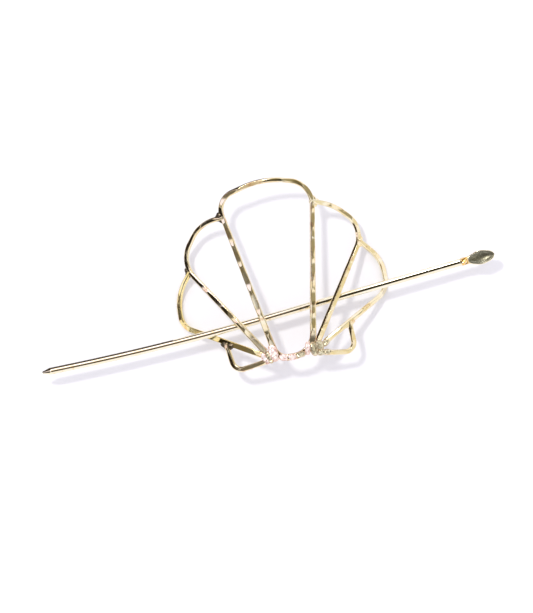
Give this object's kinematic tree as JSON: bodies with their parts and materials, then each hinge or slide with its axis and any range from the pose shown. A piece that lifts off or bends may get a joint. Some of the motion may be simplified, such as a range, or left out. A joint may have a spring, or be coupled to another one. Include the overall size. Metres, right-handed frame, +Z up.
{
  "type": "hair slide with stick",
  "caption": "Open scallop shell of hammered brass wire, arched to lie over a bun, with a round stick that slides across it through the hair and ends in a dished paddle.",
  "frame": {"origin": "middle of the footprint on the surface that the slide lies on", "axes": "+X across the shell and towards the stick's paddle, +Y from the shell's base to its crown, +Z up, out of the hair"},
  "size_m": [0.1644, 0.066, 0.0163],
  "materials": {
    "hammered_brass": "polished, hammered, with coppery solder at the base",
    "polished_brass": "polished"
  },
  "bodies": {
    "shell": {"shell_frame": "hammered_brass"},
    "stick": {"stick": "polished_brass"}
  },
  "joints": [
    {"name": "stick_slide", "type": "slide", "parent": "shell", "child": "stick", "axis": [0.9972, 0.0745, 0], "range_m": [-0.022, 0.128]}
  ]
}
